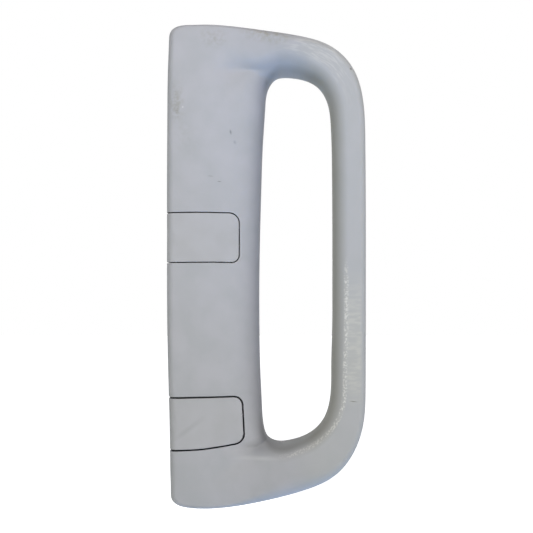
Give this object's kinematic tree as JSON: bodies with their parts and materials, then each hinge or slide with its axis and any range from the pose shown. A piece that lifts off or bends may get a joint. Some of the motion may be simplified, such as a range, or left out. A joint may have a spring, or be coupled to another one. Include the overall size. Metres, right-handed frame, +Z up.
{
  "type": "grab handle",
  "caption": "Moulded plastic entry handle: a broad leg fixed to the pillar and a D-shaped grip loop, with hinged covers that hide the fixing screws.",
  "frame": {"origin": "on the plane of the pillar, midway between the two screws", "axes": "+Z up along the handle, -Y out of the front towards the cab, +X from the leg towards the grip"},
  "size_m": [0.1207, 0.0638, 0.2965],
  "materials": {
    "moulding": "grey moulded plastic with a fine leather-like grain, worn and slightly soiled",
    "covers": "the same grey moulded plastic with a fine grain",
    "bushes": "turned steel",
    "fasteners": "zinc-plated steel"
  },
  "bodies": {
    "handle": {"handle_body": "moulding", "upper_bush": "bushes", "lower_bush": "bushes", "upper_washer": "fasteners", "lower_washer": "fasteners", "upper_screw": "fasteners", "lower_screw": "fasteners"},
    "upper_cover": {"upper_cover": "covers"},
    "lower_cover": {"lower_cover": "covers"}
  },
  "joints": [
    {"name": "upper_cover_hinge", "type": "hinge", "parent": "handle", "child": "upper_cover", "pos_m": [-0.02195, -0.0052, 0.0565], "axis": [0, 0, -1], "range_deg": [0, 90]},
    {"name": "lower_cover_hinge", "type": "hinge", "parent": "handle", "child": "lower_cover", "pos_m": [-0.01997, -0.0052, -0.0565], "axis": [0, 0, -1], "range_deg": [0, 90]}
  ]
}
